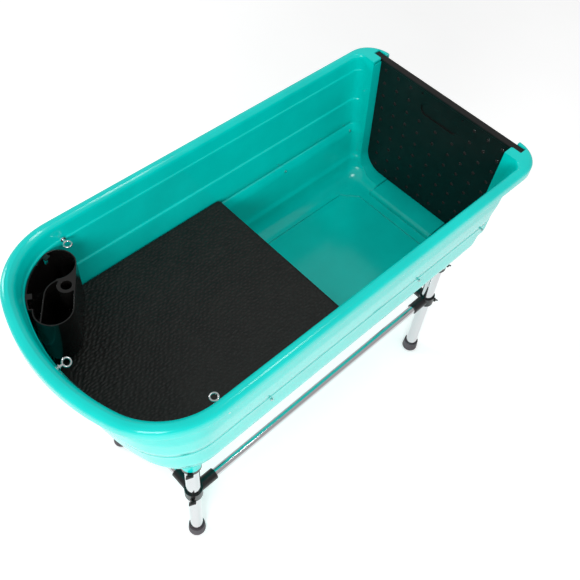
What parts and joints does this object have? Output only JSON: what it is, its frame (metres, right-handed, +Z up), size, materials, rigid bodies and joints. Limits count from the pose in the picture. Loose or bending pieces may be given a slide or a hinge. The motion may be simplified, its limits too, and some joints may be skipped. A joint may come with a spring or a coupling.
{
  "type": "pet bathtub",
  "caption": "Raised pet bathtub with one rounded end, a lift-out perforated gate, a standing platform and a bottle caddy, on screw-adjusted chrome legs.",
  "frame": {"origin": "on the ground, at the centre of the tub's bounding box in plan", "axes": "+Z up, +X along the tub towards the gate, +Y across towards the long side that carries the caddy"},
  "size_m": [1.2479, 0.6, 0.905],
  "materials": {
    "tub_plastic": "glossy moulded polyethylene, turquoise",
    "gate_plastic": "satin dark sheet with drilled holes",
    "platform_plastic": "black with a fine embossed grip texture",
    "caddy_plastic": "glossy black moulded",
    "fitting_plastic": "black glass-filled moulding, slight gloss",
    "chrome_tube": "polished chrome plate on steel tube",
    "zinc_steel": "bright zinc plated",
    "foot_rubber": "matte dark grey rubber",
    "drain_plastic": "black moulded drain fitting",
    "gasket_rubber": "matte black",
    "strainer_steel": "perforated stainless"
  },
  "bodies": {
    "tub": {"tub_shell": "tub_plastic", "leg_socket_ring_front_left": "fitting_plastic", "leg_socket_ring_front_right": "fitting_plastic", "leg_socket_ring_rear_left": "fitting_plastic", "leg_socket_ring_rear_right": "fitting_plastic", "upper_leg_front_left": "chrome_tube", "upper_leg_front_right": "chrome_tube", "upper_leg_rear_left": "chrome_tube", "upper_leg_rear_right": "chrome_tube", "corner_connector_front_left": "fitting_plastic", "corner_connector_front_right": "fitting_plastic", "corner_connector_rear_left": "fitting_plastic", "corner_connector_rear_right": "fitting_plastic", "long_rail_front": "chrome_tube", "long_rail_rear": "chrome_tube", "cross_rail_left": "chrome_tube", "cross_rail_right": "chrome_tube", "restraint_eye_rear": "zinc_steel", "restraint_eye_front": "zinc_steel", "restraint_eye_end": "zinc_steel", "eye_washers": "zinc_steel", "eye_nuts": "zinc_steel", "wall_screws": "zinc_steel", "wall_screw_nuts": "zinc_steel", "drain_outlet": "drain_plastic", "drain_gasket": "gasket_rubber", "drain_lock_nut": "drain_plastic", "drain_strainer": "strainer_steel"},
    "gate": {"gate_panel": "gate_plastic"},
    "platform": {"platform_plate": "platform_plastic"},
    "caddy": {"bottle_caddy": "caddy_plastic"},
    "leg_front_left": {"lower_leg_front_left": "chrome_tube", "foot_front_left": "foot_rubber"},
    "socket_knob_front_left": {"socket_screw_front_left": "fitting_plastic"},
    "lock_knob_front_left": {"leg_lock_screw_front_left": "fitting_plastic"},
    "leg_front_right": {"lower_leg_front_right": "chrome_tube", "foot_front_right": "foot_rubber"},
    "socket_knob_front_right": {"socket_screw_front_right": "fitting_plastic"},
    "lock_knob_front_right": {"leg_lock_screw_front_right": "fitting_plastic"},
    "leg_rear_left": {"lower_leg_rear_left": "chrome_tube", "foot_rear_left": "foot_rubber"},
    "socket_knob_rear_left": {"socket_screw_rear_left": "fitting_plastic"},
    "lock_knob_rear_left": {"leg_lock_screw_rear_left": "fitting_plastic"},
    "leg_rear_right": {"lower_leg_rear_right": "chrome_tube", "foot_rear_right": "foot_rubber"},
    "socket_knob_rear_right": {"socket_screw_rear_right": "fitting_plastic"},
    "lock_knob_rear_right": {"leg_lock_screw_rear_right": "fitting_plastic"}
  },
  "joints": [
    {"name": "gate_lift", "type": "slide", "parent": "tub", "child": "gate", "axis": [0, 0, 1], "range_m": [0, 0.4]},
    {"name": "platform_slide", "type": "slide", "parent": "tub", "child": "platform", "axis": [1, 0, 0], "range_m": [0, 0.45]},
    {"name": "caddy_lift", "type": "slide", "parent": "tub", "child": "caddy", "axis": [0, 0, 1], "range_m": [0, 0.15]},
    {"name": "leg_extension_front_left", "type": "slide", "parent": "tub", "child": "leg_front_left", "axis": [0, 0, 1], "range_m": [-0.05, 0.1]},
    {"name": "socket_screw_turn_front_left", "type": "hinge", "parent": "tub", "child": "socket_knob_front_left", "pos_m": [-0.418, -0.179, 0.4496], "axis": [-0.7071, -0.7071, 0], "range_deg": [0, 360]},
    {"name": "lock_screw_turn_front_left", "type": "hinge", "parent": "tub", "child": "lock_knob_front_left", "pos_m": [-0.418, -0.179, 0.273], "axis": [-0.7071, -0.7071, 0], "range_deg": [0, 360]},
    {"name": "leg_extension_front_right", "type": "slide", "parent": "tub", "child": "leg_front_right", "axis": [0, 0, 1], "range_m": [-0.05, 0.1]},
    {"name": "socket_screw_turn_front_right", "type": "hinge", "parent": "tub", "child": "socket_knob_front_right", "pos_m": [0.503, -0.179, 0.4496], "axis": [0.7071, -0.7071, 0], "range_deg": [0, 360]},
    {"name": "lock_screw_turn_front_right", "type": "hinge", "parent": "tub", "child": "lock_knob_front_right", "pos_m": [0.503, -0.179, 0.273], "axis": [0.7071, -0.7071, 0], "range_deg": [0, 360]},
    {"name": "leg_extension_rear_left", "type": "slide", "parent": "tub", "child": "leg_rear_left", "axis": [0, 0, 1], "range_m": [-0.05, 0.1]},
    {"name": "socket_screw_turn_rear_left", "type": "hinge", "parent": "tub", "child": "socket_knob_rear_left", "pos_m": [-0.418, 0.179, 0.4496], "axis": [-0.7071, 0.7071, 0], "range_deg": [0, 360]},
    {"name": "lock_screw_turn_rear_left", "type": "hinge", "parent": "tub", "child": "lock_knob_rear_left", "pos_m": [-0.418, 0.179, 0.273], "axis": [-0.7071, 0.7071, 0], "range_deg": [0, 360]},
    {"name": "leg_extension_rear_right", "type": "slide", "parent": "tub", "child": "leg_rear_right", "axis": [0, 0, 1], "range_m": [-0.05, 0.1]},
    {"name": "socket_screw_turn_rear_right", "type": "hinge", "parent": "tub", "child": "socket_knob_rear_right", "pos_m": [0.503, 0.179, 0.4496], "axis": [0.7071, 0.7071, 0], "range_deg": [0, 360]},
    {"name": "lock_screw_turn_rear_right", "type": "hinge", "parent": "tub", "child": "lock_knob_rear_right", "pos_m": [0.503, 0.179, 0.273], "axis": [0.7071, 0.7071, 0], "range_deg": [0, 360]}
  ]
}
